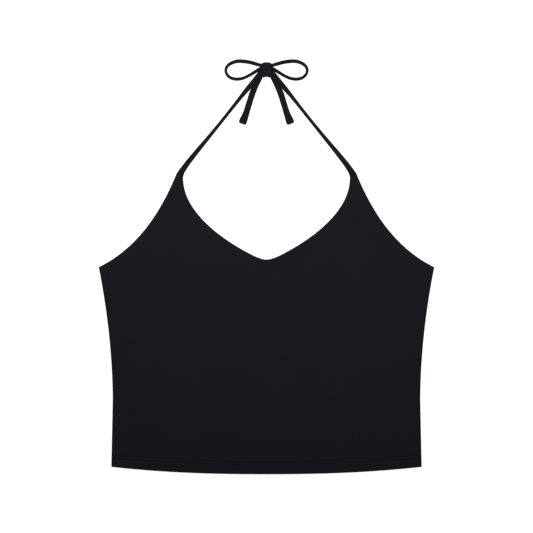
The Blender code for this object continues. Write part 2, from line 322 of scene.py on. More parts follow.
neck_edge = beside(bezier(NECKLINE), -DRAWN_IN)
arm_edge = beside(bezier(ARMHOLE), DRAWN_IN)
past_side = arm_edge[:, 0] - half_width(np.minimum(arm_edge[:, 1], 0.0)) + DRAWN_IN
inside = int(np.argmax(past_side < 0.0))
share = past_side[inside - 1] / (past_side[inside - 1] - past_side[inside])
underarm = arm_edge[inside - 1] + share * (arm_edge[inside] - arm_edge[inside - 1])
arm_edge = np.vstack((underarm, arm_edge[inside:]))
print("corner under the arm at", underarm.round(2))

# %% [markdown]
# ## One half as a grid
#
# A filled outline would give long thin triangles, which shade badly once the cloth swells. So
# a grid of rows and columns is laid over half of each panel. A body row runs from the centre
# line to the side seam, and a horn row from the neckline to the armhole. The rows of the turned
# hem keep their distance from its edge and are close together, because the sewing presses a
# fine relief into it. Above the hem they spread out evenly.

# %% Grids of points
COLUMNS = 76
BODY_STEP = 2.7  # mm between rows
HORN_ROWS = 64
HORN_CROWDING = 1.15  # above 1, the rows are closer together near the chest
HORN_LENGTH = 140.0  # of its edges, roughly
# Heights of the hem's rows above its edge.
HEM_ROWS = np.concatenate(([DRAWN_IN, 3.0, 4.6, 6.2, 7.8], np.arange(9.0, 18.2, 0.35)))


def body_grid(top):
    """x and y of a body below its top edge, and each point's share u across."""
    u = np.linspace(0.0, 1.0, COLUMNS)
    hem = hem_line(u) + HEM_ROWS[:, None]
    count = round((top[0] - hem[-1, 0]) / BODY_STEP)
    rise = np.linspace(0.0, 1.0, count)[1:, None]
    y = np.vstack((hem, hem[-1] * (1.0 - rise) + top * rise))
    x = u * (half_width(y[:, -1:]) - DRAWN_IN)
    return np.stack((x, y), axis=-1), np.broadcast_to(u, y.shape)


def horn_grid():
    """x and y of a horn above the chest row, with its shares u across and t up."""
    rows = (np.arange(1, HORN_ROWS + 1) / HORN_ROWS) ** HORN_CROWDING
    t, u = np.meshgrid(rows, np.linspace(0.0, 1.0, COLUMNS), indexing="ij")
    short = 1.0 - DRAWN_IN / HORN_LENGTH  # the tip is drawn in too
    inner = at_share(neck_edge, t * short)
    outer = at_share(arm_edge, t * short)
    return inner + (outer - inner) * u[..., None], u, t


spread = np.linspace(0.0, 1.0, COLUMNS)
chest_row = neck_edge[0, 1] + (underarm[1] - neck_edge[0, 1]) * spread
front_body, front_u = body_grid(chest_row)
horn, horn_u, horn_t = horn_grid()
back_body, back_u = body_grid(back_top(spread) - DRAWN_IN)
print("front rows", len(front_body) + len(horn), "back rows", len(back_body))

# %% [markdown]
# ## Soft steps and bumps
#
# Cloth changes level softly. Sculpting would give that by eye, but a curve can be placed to a
# tenth of a millimetre. Two curves do for every change of level here: a step that starts and ends
# flat, and a bump that falls off on both sides.

# %% Two soft curves


def smoothstep(low, high, value):
    """0 below low, 1 above high, and a soft S between them."""
    share = np.clip((value - low) / (high - low), 0.0, 1.0)
    return share * share * (3.0 - 2.0 * share)


def near(distances, places, reach):
    """1 at each place, with a soft fall to 0 on both sides of it."""
    return sum(np.exp(-(((distances - place) / reach) ** 2)) for place in places)


print(f"a quarter of the way along, a soft step has climbed {smoothstep(0.0, 1.0, 0.25):.3f}")

# %% [markdown]
# ## How the layers lie
#
# The back lies flat on the table. The front lies on it, with a little air between, and comes
# down to the table past the back's top edge. At the sides it falls to the seams. A simulation
# could drop one on the other, but a few distances give the same rest and keep the layers clear
# of each other. The front is cloth doubled and turned through, so it is the thicker of the two.
# A hem turned up by hand is never quite even, so its depth grows by less than a stitch between
# the middle and each side.

# %% Walls and air
FRONT_WALL = 1.6
FRONT_HEM_WALL = 2.2
BACK_WALL = 1.2
BACK_HEM_WALL = 1.8
HEM_BAND = 15.2  # depth of the turned hem at the middle
HEM_EDGE = 0.6  # the turned layer ends over twice this
SEWING_CLIMB = 1.8  # the hem is deeper by this between the middle and each side
SEWING_CLIMB_AT = 0.58  # share of the half width
SEWING_CLIMB_REACH = 0.28
GAP = 0.3  # between the layers
AIR = FRONT_HEM_WALL - FRONT_WALL + BACK_HEM_WALL - BACK_WALL
SIDE_ROLL = 8.0  # power of the front's curve down to the side seams
ROLL_START = 40.0  # the side's roll grows from nothing to full over this height above the hem
LEAVES_AIR = (-45.0, 25.0)  # past the back's top edge, where the front comes down onto the back
LEAVES_BACK = (3.0, 48.0)  # and where it comes down from the back to the table


def sewn_height(y, u):
    """Height above the hem's edge, less the climb of the sewing between middle and side."""
    return y - hem_line(u) - SEWING_CLIMB * near(u, [SEWING_CLIMB_AT], SEWING_CLIMB_REACH)


def in_hem(above):
    """1 in the turned hem and 0 above it, at a sewn height."""
    return 1.0 - smoothstep(HEM_BAND - HEM_EDGE, HEM_BAND + HEM_EDGE, above)


def past_back(x, y):
    """How far up a point is from the back's top edge."""
    return y - back_top(np.clip(np.abs(x) / half_width(np.minimum(y, 0.0)), 0.0, 1.0))


print(f"air between front and back: {AIR:.1f} mm")

# %% [markdown]
# ## Swells and creases
#
# Cloth never lies dead flat. Low swells stay where the bust was cut, and soft creases run from
# the places that are held: the horns, the underarms and the hem. Noise would wrinkle it all over
# like paper, so they are placed one by one, each with a reason, and differ a little from side to
# side. A crease in jersey bends as it goes, so a slow wave is added across each one. The back has
# its own, pressed up from the table.

# %% Soft relief, placed one by one
# Low swells: x, y, reach along x, reach along y, height. What is on one side is on the other.
SWELLS = (
    (108.0, -4.0, 42.0, 48.0, 1.4),
    (0.0, -62.0, 46.0, 40.0, 0.7),
    (139.0, -205.0, 34.0, 26.0, -0.7),
    (92.0, -150.0, 60.0, 30.0, 0.5),
)

# Soft creases: x, y, heading in degrees, half length, half width, height.
FRONT_CREASES = (
    (112.0, 62.0, 118.0, 34.0, 5.0, 0.4),
    (-115.0, 58.0, 60.0, 30.0, 5.5, 0.36),
    (136.0, 26.0, 140.0, 30.0, 6.0, -0.3),
    (-139.0, 22.0, 42.0, 33.0, 6.5, -0.32),
    (168.0, -38.0, 104.0, 36.0, 7.0, 0.36),
    (-170.0, -46.0, 78.0, 33.0, 7.0, 0.34),
    (22.0, -70.0, 62.0, 40.0, 9.0, 0.32),
    (-60.0, -104.0, 100.0, 46.0, 11.0, 0.28),
    (150.0, -128.0, 96.0, 42.0, 8.0, 0.4),
    (-148.0, -136.0, 85.0, 45.0, 8.5, 0.38),
    (64.0, -196.0, 84.0, 34.0, 9.0, 0.34),
    (-86.0, -200.0, 94.0, 32.0, 8.0, -0.3),
    (-12.0, -188.0, 92.0, 36.0, 12.0, 0.28),
)
BACK_CREASES = (
    (-140.0, -60.0, 80.0, 44.0, 8.0, 0.3),
    (128.0, -74.0, 104.0, 40.0, 9.0, 0.26),
    (-46.0, -120.0, 94.0, 52.0, 11.0, 0.28),
    (58.0, -96.0, 82.0, 48.0, 10.0, 0.24),
    (104.0, -176.0, 88.0, 36.0, 8.0, 0.3),
    (-118.0, -184.0, 98.0, 34.0, 9.0, 0.26),
)
CREASE_BEND = 0.35  # of its half width, to each side
CREASE_TURN = 2.2  # how far its wave turns over its half length


def swells(x, y):
    """Height that the swells add at each point."""
    total = np.zeros_like(x)
    for middle_x, middle_y, reach_x, reach_y, height in SWELLS:
        across = (np.abs(x) - middle_x) / reach_x
        along = (y - middle_y) / reach_y
        total += height * np.exp(-across * across - along * along)
    return total


def creases(table, x, y):
    """Height that a table of creases adds at each point."""
    total = np.zeros_like(x)
    for middle_x, middle_y, heading, length, width, height in table:
        turn = math.radians(heading)
        along = ((x - middle_x) * math.cos(turn) + (y - middle_y) * math.sin(turn)) / length
        across = ((y - middle_y) * math.cos(turn) - (x - middle_x) * math.sin(turn)) / width
        across += CREASE_BEND * np.sin(CREASE_TURN * along)
        total += height * np.exp(-across * across - along * along)
    return total


print(len(SWELLS), "swells,", len(FRONT_CREASES), "creases in front,", len(BACK_CREASES), "behind")

# %% [markdown]
# ## The hem's relief
#
# Both hems are turned up once and sewn with a twin needle from the right side. Two rows of
# stitches, over 3 mm apart, press the cloth down, and a small roll stays up between them.
# Jersey stretches a little under the machine's foot, so the band below waves slightly. Bump in
# the material could fake this, but real height shows from the side too.

# %% Troughs and roll of the twin needle
NEEDLE_ROWS = (10.6, 14.0)  # mm above the edge, at the middle
TROUGH_DEPTH = 0.26
TROUGH_REACH = 0.55  # half width
ROLL_HEIGHT = 0.14
ROLL_REACH = 0.8
WAVE_HEIGHT = 0.05
WAVE_AT = 10.0  # mm above the edge, where it is highest
WAVE_REACH = 7.0


def troughs(above):
    """How hard the needle rows press the cloth, from 0 to 1, at a sewn height."""
    return near(above, NEEDLE_ROWS, TROUGH_REACH)


def hem_relief(x, above):
    """The outside of a hem, in and out of its own level."""
    roll = ROLL_HEIGHT * near(above, [np.mean(NEEDLE_ROWS)], ROLL_REACH)
    # Two waves of different lengths, of which the longer one drifts, so that none repeats.
    wave = np.sin(x / 6.1 + 1.3 * np.sin(x / 23.0)) + 0.6 * np.sin(x / 3.7 + 2.0)
    wave *= WAVE_HEIGHT * near(above, [WAVE_AT], WAVE_REACH)
    return roll + wave - TROUGH_DEPTH * troughs(above)


print("needle rows", round(NEEDLE_ROWS[1] - NEEDLE_ROWS[0], 1), "mm apart")

# %% [markdown]
# ## Heights
#
# All of that adds up to a height for each point, which is simpler than pushing a mesh about step
# by step. The front's outside is the back's thickness, a gap, the air and the front's own wall,
# with the soft relief on top where the cloth is free. It isn't free at the seams, the hem or the
# edges of the horns. A crease may sink into the air below the front, but not into the back. Along
# the side seams the allowances of both panels lie inside, so the front is thicker there and
# reaches down to the back.

# %% Outside and wall of the front and the back
SEAM_ALLOWANCE = 7.0
HORN_HELD = 6.0  # how fast the neckline starts to hold a horn flat, on the way up
SINKING = 0.9  # a crease may sink by this share of the air below the front
ROW_SHADE = 0.4  # painted shade along a row of stitches, as a share of that at a folded edge


def front_surface(x, y, u, t):
    """Height of the front's outside, its wall, and the painted shade along its stitch rows, at
    each point.
    """
    above = np.where(t > 0.0, HEM_DROP, sewn_height(y, u))
    turned = in_hem(above)
    wall = FRONT_WALL + (FRONT_HEM_WALL - FRONT_WALL) * turned
    under = BACK_WALL + (BACK_HEM_WALL - BACK_WALL) * turned + GAP
    start = smoothstep(0.0, ROLL_START, above - HEM_BAND)
    air = AIR * (1.0 - turned) * (1.0 - u**SIDE_ROLL * start)
    air = air * (1.0 - smoothstep(*LEAVES_AIR, past_back(x, y)))
    under = under * (1.0 - smoothstep(*LEAVES_BACK, past_back(x, y)))
    neck_held = np.minimum(1.0, HORN_HELD * t) * (1.0 - u) ** SIDE_ROLL
    free = (1.0 - u**SIDE_ROLL) * (1.0 - neck_held)
    lift = (swells(x, y) + creases(FRONT_CREASES, x, y)) * free * start
    outside = wall + under + air + np.maximum(lift, -SINKING * air) + hem_relief(x, above)
    from_side = np.where(t > 0.0, CHEST, half_width(np.minimum(y, 0.0)) - np.abs(x))
    filled = smoothstep(SEAM_ALLOWANCE, SEAM_ALLOWANCE / 2, from_side)
    wall = wall + filled * np.minimum(under, GAP + air)
    # The troughs of the stitch rows are painted darker, as painted shade.
    return outside, wall, ROW_SHADE * troughs(above)


def back_surface(x, y, u, t):
    """The same for the back, of which the outside is the underside, on the table."""
    above = sewn_height(y, u)
    wall = BACK_WALL + (BACK_HEM_WALL - BACK_WALL) * in_hem(above)
    free = (1.0 - u**SIDE_ROLL) * smoothstep(0.0, ROLL_START, above - HEM_BAND)
    raised = TROUGH_DEPTH * troughs(above) + creases(BACK_CREASES, x, y) * free
    # The stitch rows are painted darker here too, as painted shade.
    return wall, wall - raised, ROW_SHADE * troughs(above)


middle = np.zeros(1)
hem_height = front_surface(middle, middle - HEM_DROP + HEM_BAND / 2, middle, middle)[0]
print(f"the front's hem is {hem_height[0]:.1f} mm above the table")

# %% [markdown]
# ## From a grid to cloth
#
# The outside and the inside of a panel are two copies of its grid, and a strip of small faces
# runs round their edges. A Solidify and a Bevel modifier would do for an even wall, but this one
# is thicker at the hem and the side seams. First come the faces of a grid, the way round its
# edge, and the direction out of it.

# %% Faces and outline of a grid
SHARPEST = 0.55  # limits how far a corner reaches, so that it stays inside the cut


def panel_faces(rows, columns, joined_rows):
    """The vertices and faces of both halves, which share their centre line in the first rows."""
    right = np.arange(rows * columns).reshape(rows, columns)
    left = right + rows * columns
    left[:joined_rows, 0] = right[:joined_rows, 0]
    quads = []
    for half, order in ((right, (0, 1, 2, 3)), (left, (1, 0, 3, 2))):
        corners = half[:-1, :-1], half[:-1, 1:], half[1:, 1:], half[1:, :-1]
        quads.append(np.stack([corners[k] for k in order], axis=-1).reshape(-1, 4))
    used, numbers = np.unique(np.vstack(quads), return_inverse=True)
    return used, numbers.reshape(-1, 4)


def outline(faces):
    """The vertices round the open edge of a sheet, in order, with the sheet on their left."""
    pairs = np.stack((faces, np.roll(faces, -1, axis=1)), axis=-1).reshape(-1, 2)
    known = {(a, b) for a, b in pairs.tolist()}
    following = {a: b for a, b in known if (b, a) not in known}
    loop = [min(following)]
    while following[loop[-1]] != loop[0]:
        loop.append(following[loop[-1]])
    return np.array(loop)


def outwards(points):
    """Directions out of a loop, longer at its corners, so that its sides move out evenly."""
    ahead = np.roll(points, -1, axis=0) - points
    ahead /= np.linalg.norm(ahead, axis=1)[:, None]
    middle = ahead + np.roll(ahead, 1, axis=0)
    middle /= np.linalg.norm(middle, axis=1)[:, None]
    reach = 1.0 / np.clip((middle * ahead).sum(1), SHARPEST, 1.0)
    return np.column_stack((middle[:, 1], -middle[:, 0])) * reach[:, None]


print("round a sheet of 2 by 2 faces:", len(outline(panel_faces(3, 2, 3)[1])), "corners")

# %% [markdown]
# ## From points to pieces
#
# An object could be moved into its place, but then a pattern on its own coordinates would move
# with it. So each piece keeps its place in its mesh and stays at the origin itself. The origin
# is at the whole top's middle, a little above the underarm line.

# %% Meshes and pieces
BOW_TOP = 248.1  # from the underarm line up to the top of the bow
MIDDLE = (BOW_TOP - HEM_DROP) / 2


def in_metres(points):
    """Points in millimetres from the underarm line, as lists of metres from the origin."""
    return ((np.asarray(points) - (0.0, MIDDLE, 0.0)) * MM).tolist()


def add_mesh(name, vertices, edges, faces):
    """An object with a mesh, from vertices in metres."""
    mesh = bpy.data.meshes.new(name)
    mesh.from_pydata(vertices, edges, faces)
    made = bpy.data.objects.new(name, mesh)
    bpy.context.scene.collection.objects.link(made)
    return made


def add_piece(name, vertices, faces, material):
    """A smooth piece of the top, from vertices in millimetres."""
    piece = add_mesh(name, in_metres(vertices), [], faces)
    piece.data.shade_smooth()
    piece.data.materials.append(material)
    return piece


def keep_painted_shading(piece, values):
    """Keeps the painted shade at each vertex, and below 0 the painted highlight, for the material
    to read.
    """
    made = piece.data.attributes.new("painted_shading", "FLOAT", "POINT")
    made.data.foreach_set("value", np.asarray(values, dtype=np.float32))


print(f"the origin is {MIDDLE:.2f} mm above the underarm line")

# %% [markdown]
# ## A panel of cloth
#
# Where cloth is folded, its edge is a half circle. Where two layers are seamed and turned, a fine
# groove runs along the middle of the edge, which is where the seam lies. The strip round a panel
# is made of rings that turn from its outside to its inside, so both kinds of edge come from one
# function.

# %% Two faces and a rounded edge
EDGE_STEPS = 13
SEAM_GROOVE = 0.42  # depth of a seamed edge's groove, as a share of the round
GROOVE_REACH = 0.25  # half width, as an angle round the edge
TIP_SHADE = 0.3  # less painted shade at a horn's tip, where the tie joins it, as a share of that at other edges


def cloth_panel(name, grid, u, t, joined_rows, surface, seamed_from):
    """Cloth with two faces and a rounded edge. Its rows from seamed_from on are seamed."""
    rows, columns = u.shape
    used, faces = panel_faces(rows, columns, joined_rows)
    half = grid.reshape(-1, 2)
    flat = np.concatenate((half, half * (-1.0, 1.0)))[used]
    u, t = np.tile(u.ravel(), 2)[used], np.tile(t.ravel(), 2)[used]
    row = np.tile(np.repeat(np.arange(rows), columns), 2)[used]
    outside, wall, painted_shading = surface(flat[:, 0], flat[:, 1], u, t)
    loop = outline(faces)
    out = outwards(flat[loop])
    groove = SEAM_GROOVE * (row[loop] >= seamed_from)

    parts = [np.column_stack((flat, outside)), np.column_stack((flat, outside - wall))]
    for angle in np.linspace(math.pi / 2, -math.pi / 2, EDGE_STEPS):
        seam = 1.0 - groove * math.exp(-((angle / GROOVE_REACH) ** 2))
        place = flat[loop] + out * (EDGE_FLAT + EDGE_ROUND * math.cos(angle) * seam)[:, None]
        down = wall[loop] * (0.5 - 0.5 * math.sin(angle))
        parts.append(np.column_stack((place, outside[loop] - down)))

    count, around = len(flat), len(loop)
    rings = [2 * count + around * step + np.arange(around) for step in range(EDGE_STEPS)]
    chain = [loop, *rings, loop + count]
    all_faces = [faces, faces[:, ::-1] + count]
    for upper, lower in zip(chain, chain[1:]):
        all_faces.append(np.stack((upper, lower, np.roll(lower, -1), np.roll(upper, -1)), axis=1))
    vertices = np.vstack(parts)
    piece = add_piece(name, vertices, np.vstack(all_faces).tolist(), panel_jersey)
    # Painted shade on the rounded edge all round, with less of it at a horn's tip.
    rim = np.tile(np.where(t[loop] == 1.0, TIP_SHADE, 1.0), EDGE_STEPS)
    keep_painted_shading(piece, np.concatenate((painted_shading, painted_shading, rim)))
    print(name, len(piece.data.polygons), "faces")
    return piece


print("a rounded edge turns in steps of", 180 / (EDGE_STEPS - 1), "degrees")

# %% [markdown]
# ## Front and back
#
# The front has the body and both horns in one grid, because no seam crosses it. Its neckline
# and armholes are seamed, and its hem is folded. The back is the body alone. It lies face down
# and is a touch narrower, because the front rolls round it at the side seams.

# %% Front and back
front_panel = cloth_panel(
    "front_panel",
    np.concatenate((front_body, horn)),
    np.concatenate((front_u, horn_u)),
    np.concatenate((np.zeros_like(front_u), horn_t)),
    joined_rows=len(front_body),
    surface=front_surface,
    seamed_from=len(front_body),
)
back_panel = cloth_panel(
    "back_panel",
    back_body * (1.0 - GAP / CHEST, 1.0),
    back_u,
    np.zeros_like(back_u),
    joined_rows=len(back_body),
    surface=back_surface,
    seamed_from=len(back_body),
)

# %% [markdown]
# ## Ties
#
# Each tie is a narrow tube of jersey, sewn and turned right side out. Flat, it is 7.5 mm wide.
# Under tension the strap rolls up into a cord about 4 mm thick, and in the bow it stands on its
# edge. So its section changes along the way, and a crease wanders along it where one edge rolls
# over. A table gives the middle, width and height at a few places, and a smooth curve runs
# through them. A curve object with a bevel would keep one section all along, so the tube is made
# ring by ring.

# %% Three stretches of a tie
# x, y, underside, width as seen from above, height, depth of the crease
STRAP = (
    (104.5, 107.1, 0.35, 7.4, 0.9, 0.0),
    (103.25, 109.85, 0.3, 8.95, 1.1, 0.0),
    (102.15, 112.25, 0.1, 8.05, 1.8, 0.0),
    (100.4, 115.3, 0.0, 7.4, 2.4, 0.15),
    (96.9, 120.2, 0.0, 6.9, 2.6, 0.25),
    (93.55, 124.9, 0.0, 6.5, 2.8, 0.3),
    (82.0, 139.2, 0.0, 5.6, 3.4, 0.4),
    (66.2, 158.3, 0.0, 4.55, 4.2, 0.35),
    (52.65, 175.0, 0.0, 4.05, 4.6, 0.35),
    (38.5, 192.8, 0.0, 4.25, 4.4, 0.4),
    (29.0, 204.8, 0.6, 5.0, 3.6, 0.45),
    (24.0, 210.7, 2.0, 5.7, 3.0, 0.4),
    (19.2, 216.6, 2.9, 5.9, 2.6, 0.35),
    (14.1, 222.7, 3.6, 5.9, 2.4, 0.35),
    (9.8, 228.0, 4.2, 6.0, 2.4, 0.3),
    (6.6, 231.8, 4.3, 5.8, 2.4, 0.2),
    (4.0, 234.9, 4.3, 4.6, 2.2, 0.0),
)
LOOP = (
    (2.6, 239.4, 2.3, 2.6, 4.0, 0.0),
    (9.0, 241.1, 1.2, 4.2, 5.2, 0.3),
    (19.1, 244.0, 0.0, 4.55, 5.6, 0.5),
    (27.5, 245.3, 0.0, 4.65, 5.6, 0.6),
    (35.5, 245.3, 0.0, 4.5, 5.6, 0.5),
    (42.7, 242.75, 0.0, 4.2, 5.8, 0.4),
    (47.1, 238.9, 0.0, 3.8, 6.0, 0.3),
    (48.5, 234.4, 0.0, 3.5, 6.0, 0.25),
    (47.0, 229.6, 0.0, 3.5, 6.0, 0.3),
    (42.4, 225.6, 0.0, 3.85, 5.8, 0.4),
    (35.5, 224.1, 0.0, 4.0, 5.6, 0.5),
    (27.5, 225.4, 0.0, 3.9, 5.6, 0.5),
    (19.1, 229.5, 0.0, 3.85, 5.6, 0.45),
    (10.6, 234.7, 1.0, 4.2, 5.2, 0.35),
    (6.4, 237.2, 1.8, 3.8, 4.6, 0.2),
    (2.6, 238.6, 2.3, 3.0, 4.0, 0.0),
)
TAIL = (
    (2.9, 234.6, 1.9, 4.0, 2.0, 0.0),
    (5.4, 231.4, 1.8, 4.6, 2.1, 0.1),
    (8.15, 226.7, 1.7, 7.4, 2.2, 0.3),
    (10.0, 223.0, 1.2, 7.5, 2.3, 0.4),
    (12.3, 218.4, 0.6, 7.5, 2.4, 0.45),
    (14.2, 214.0, 0.1, 7.5, 2.4, 0.45),
    (17.3, 206.0, 0.0, 7.5, 2.4, 0.4),
    (20.5, 195.8, 0.0, 7.5, 2.4, 0.35),
    (23.3, 186.6, 0.0, 7.6, 2.4, 0.25),
    (25.4, 180.6, 0.0, 8.35, 2.6, 0.1),
    (27.15, 176.2, 0.0, 9.4, 2.3, 0.0),
    (28.1, 173.6, 0.0, 9.5, 2.1, 0.0),
    (28.5, 172.5, 0.0, 9.4, 1.8, 0.0),
    (28.8, 171.7, 0.3, 9.1, 0.8, 0.0),
)
STRETCHES = {"strap": STRAP, "loop": LOOP, "tail": TAIL}


def smooth_rows(table, steps=24):
    """Rows between the table's rows, on the Catmull-Rom curve through them."""
    rows = np.array(table)
    padded = np.vstack((2 * rows[0] - rows[1], rows, 2 * rows[-1] - rows[-2]))
    out = []
    for before, here, ahead, after in zip(padded, padded[1:], padded[2:], padded[3:]):
        for step in range(steps):
            s = step / steps
            out.append(
                here
                + 0.5 * s * (ahead - before)
                + s * s * (before - 2.5 * here + 2.0 * ahead - 0.5 * after)
                + s * s * s * (1.5 * (here - ahead) + 0.5 * (after - before))
            )
    return np.array([*out, rows[-1]])


def length_of(rows):
    """Length of a path as seen from above."""
    return float(np.linalg.norm(np.diff(rows[:, :2], axis=0), axis=1).sum())


# %% [markdown]
# ## The tie's section
#
# A sewn tube pressed flat has round edges and a thin middle. Rolled up it is nearly a circle.
# One formula gives both: a superellipse, whose corners fill out as it gets wider than it is
# high. The crease is a soft dent on top. The tail's end bows out a little and is closed with two
# rows of stitches. Each pinches it from both sides and is painted darker, as painted shade, and
# the cloth beside it puffs up and is painted lighter, as a painted highlight.

# %% Rings of a tube
SECTION_POINTS = 32
AROUND = np.linspace(-math.pi / 2, 1.5 * math.pi, SECTION_POINTS, endpoint=False)
ROUND_POWER = 2.0  # of the section where it is as high as it is wide
FLATTEST_POWER = 3.2  # and where it is flattest
FLATTENING = 0.9  # how fast the power grows with the width
DENT_REACH = 0.13  # half width of the crease, as a share of the section's width
DENT_LEAST = 0.15  # mm more
WANDER = 0.16  # how far the crease strays from the middle, as a share of the width
WANDER_TURN = 7.0  # how far its wave turns along a stretch
TIE_WALL = 0.55  # one layer of jersey
WALL_MOST = 0.4  # of the tube's height, so that its inner skin keeps some room
PINCH_MOST = 0.2  # of the tube's height
END_BOW = 1.0  # how far the middle of the tail's end stands out past its corners
END_REACH = 1.6  # over this length
TAIL_ROWS = (4.9, 8.2)  # mm from the corners of the tail's end to its two rows of stitches
PINCH = 0.4  # how far a row of stitches draws the cloth in, from above and from below
PINCH_REACH = 0.7
PUFFS = ((0.6, -0.5), (6.55, -1.2))  # mm to where the cloth puffs up, and the painted highlight there, below 0
PUFF_REACH = 0.9
RING_STEP = {"strap": 0.9, "loop": 0.8, "tail": 0.35}  # mm between rings
LEAN_START = {"strap": 0.4, "loop": 1.9, "tail": 3.1}  # where each crease starts to wander


def stretch_rows(name):
    """Rows at even distances along a stretch, and each one's distance from its far end."""
    dense = smooth_rows(STRETCHES[name])
    dense[:, 2] = dense[:, 2].clip(min=0.0)  # the curve between rows doesn't dip into the table
    length = length_of(dense)
    shares = np.linspace(0.0, 1.0, round(length / RING_STEP[name]) + 1)
    return at_share(dense, shares), (1.0 - shares) * length


def superellipse(turn, power):
    """A circle of radius 1 where power is 2, and closer to a square where it is higher."""
    reach = (np.abs(np.cos(turn)) ** power + np.abs(np.sin(turn)) ** power) ** (-1.0 / power)
    return np.cos(turn) * reach, np.sin(turn) * reach


def section(width, height, crease, lean, pinch):
    """Across and up round a flattened tube, from its underside."""
    power = ROUND_POWER + FLATTENING * max(0.0, width / height - 1.0)
    across, up = superellipse(AROUND, min(FLATTEST_POWER, power))
    across = across * width / 2
    up = up * (height / 2 - pinch)
    dent = crease * near(across, [lean * width], DENT_REACH * width + DENT_LEAST)
    return across, np.where(up > 0.0, up - dent, up)


def tube_rings(rows, leans, pinches, bows, wall):
    """Rings of a tube along its rows. A wall above 0 draws them in, for the inner skin."""
    headings = np.gradient(rows[:, :2], axis=0)
    headings /= np.linalg.norm(headings, axis=1)[:, None]
    rings = []
    for row, (along_x, along_y), lean, pinch, bow in zip(rows, headings, leans, pinches, bows):
        x, y, low, width, height, crease = row
        thin = min(wall, WALL_MOST * height)
        dent = max(0.0, crease - thin / 3)
        pinch = min(pinch, PINCH_MOST * height)
        across, up = section(width - 2 * thin, height - 2 * thin, dent, lean, pinch)
        on = bow * (1.0 - (2 * across / width) ** 4)
        x, y = x + along_y * across + along_x * on, y - along_x * across + along_y * on
        rings.append(np.column_stack((x, y, low + height / 2 + up)))
    return np.array(rings)


print("rings along a tie:", sum(len(stretch_rows(name)[0]) for name in STRETCHES))

# %% [markdown]
# ## Skin
#
# Neighbouring rings are joined with four-sided faces, and one face closes each end. A solid cord
# would look the same from outside, but a sewn tube is hollow, so it gets an outer skin and an
# inner one a cloth's thickness apart. The UV map runs round the tube and along it, in metres, so
# the knit follows every bend of the tie. On the piece's own coordinates it would slide across.

# %% Faces between rings


def skin(rings, along, girth, closed):
    """Faces over rings, and the UVs of their corners; along has one more value if closed."""
    count, around = rings.shape[:2]
    ring, place = np.meshgrid(
        np.arange(count if closed else count - 1), np.arange(around), indexing="ij"
    )
    ring = np.stack((ring, ring + 1, ring + 1, ring), axis=-1).reshape(-1, 4)
    place = np.stack((place, place, place + 1, place + 1), axis=-1).reshape(-1, 4)
    faces = (ring % count * around + place % around).tolist()
    uvs = np.stack((place * girth / around, along[ring]), axis=-1).tolist()
    if not closed:
        for end, step in ((0, 1), (count - 1, -1)):
            cap = list(range(around))[::step]
            faces.append([end * around + k for k in cap])
            uvs.append([[k * girth / around, along[end]] for k in cap])
    return faces, uvs


def banded(name, skins, painted_shading):
    """One piece from skins, each of rings, faces and UVs, and whether it faces inwards."""
    vertices, faces, uvs = [], [], []
    for rings, (some_faces, some_uvs), inwards in skins:
        step = -1 if inwards else 1
        start = sum(len(part) for part in vertices)
        faces += [[corner + start for corner in face[::step]] for face in some_faces]
        uvs += [corner for face in some_uvs for corner in face[::step]]
        vertices.append(rings.reshape(-1, 3))
    piece = add_piece(name, np.vstack(vertices), faces, band_jersey)
    piece.data.uv_layers.new(name="band").data.foreach_set("uv", np.ravel(uvs) * MM)
    keep_painted_shading(piece, painted_shading)
    print(name, len(piece.data.polygons), "faces")
    return piece


three_rings = np.zeros((3, SECTION_POINTS, 3))
capped = skin(three_rings, np.arange(3.0), 1.0, closed=False)[0]
print("over three rings, with both ends closed:", len(capped), "faces")

# %% [markdown]
# ## Both ties
#
# The two ties are each other's mirror image, apart from where their creases wander. Mirroring
# turns a skin inside out, and an inner skin faces the other way from an outer one, so the corners
# of a face are taken in reverse where just one of these is so. The side edges of the band are
# its folds, and they are painted darkest, as painted shade.

# %% Both ties
TIE_CUT = 17.5  # cut width of a tie, all round the tube
SIDE_SHADE = (0.52, 0.94)  # shares of the half width between which the edges are painted darker, as painted shade
SHADE_POWER = 3.0  # of the section that these are measured on
SIDE_START = 0.8  # sets the creases of the two ties apart


def tie_band(name, side):
    """A tie's strap, loop and tail; side is 1 for the one on +X and -1 for the other."""
    # Painted shade towards the band's side edges.
    sideways = smoothstep(*SIDE_SHADE, np.abs(superellipse(AROUND, SHADE_POWER)[0]))
    skins, painted_shading = [], []
    for label in STRETCHES:
        rows, from_end = stretch_rows(label)
        start = LEAN_START[label] + SIDE_START * side
        leans = WANDER * np.sin(WANDER_TURN * from_end / from_end[0] + start)
        pinches, puffs, bows = np.zeros((3, len(rows)))
        if label == "tail":
            pinches = near(from_end, TAIL_ROWS, PINCH_REACH)
            puffs = sum(shade * near(from_end, [place], PUFF_REACH) for place, shade in PUFFS)
            bows = END_BOW * smoothstep(END_REACH, 0.0, from_end)
        # Painted shade at the side edges and the rows of stitches, and a painted highlight where
        # the cloth puffs up.
        shades = np.maximum(sideways, pinches[:, None])
        shades += puffs[:, None] * (1.0 - shades)
        for wall in (0.0, TIE_WALL):
            rings = tube_rings(rows, leans, PINCH * pinches, bows, wall) * (side, 1.0, 1.0)
            inwards = (wall > 0.0) != (side < 0)
            skins.append((rings, skin(rings, from_end, TIE_CUT, closed=False), inwards))
            painted_shading.append(shades.ravel())
    return banded(name, skins, np.concatenate(painted_shading))


tie_left_band = tie_band("tie_left_band", 1)
tie_right_band = tie_band("tie_right_band", -1)

# %% [markdown]
# ## Knot
#
# A stretch of tie wraps once round the middle of the bow. On top it spreads into a soft pad,
# 13 mm wide. Its lower edge is drawn up in the middle, where the two tails part, and a few fine
# folds run along it. Behind, it narrows. A sculpted lump would do from above, but this is still
# the same band, so it is made of rings like the ties, closed in a circle, and hollow too.

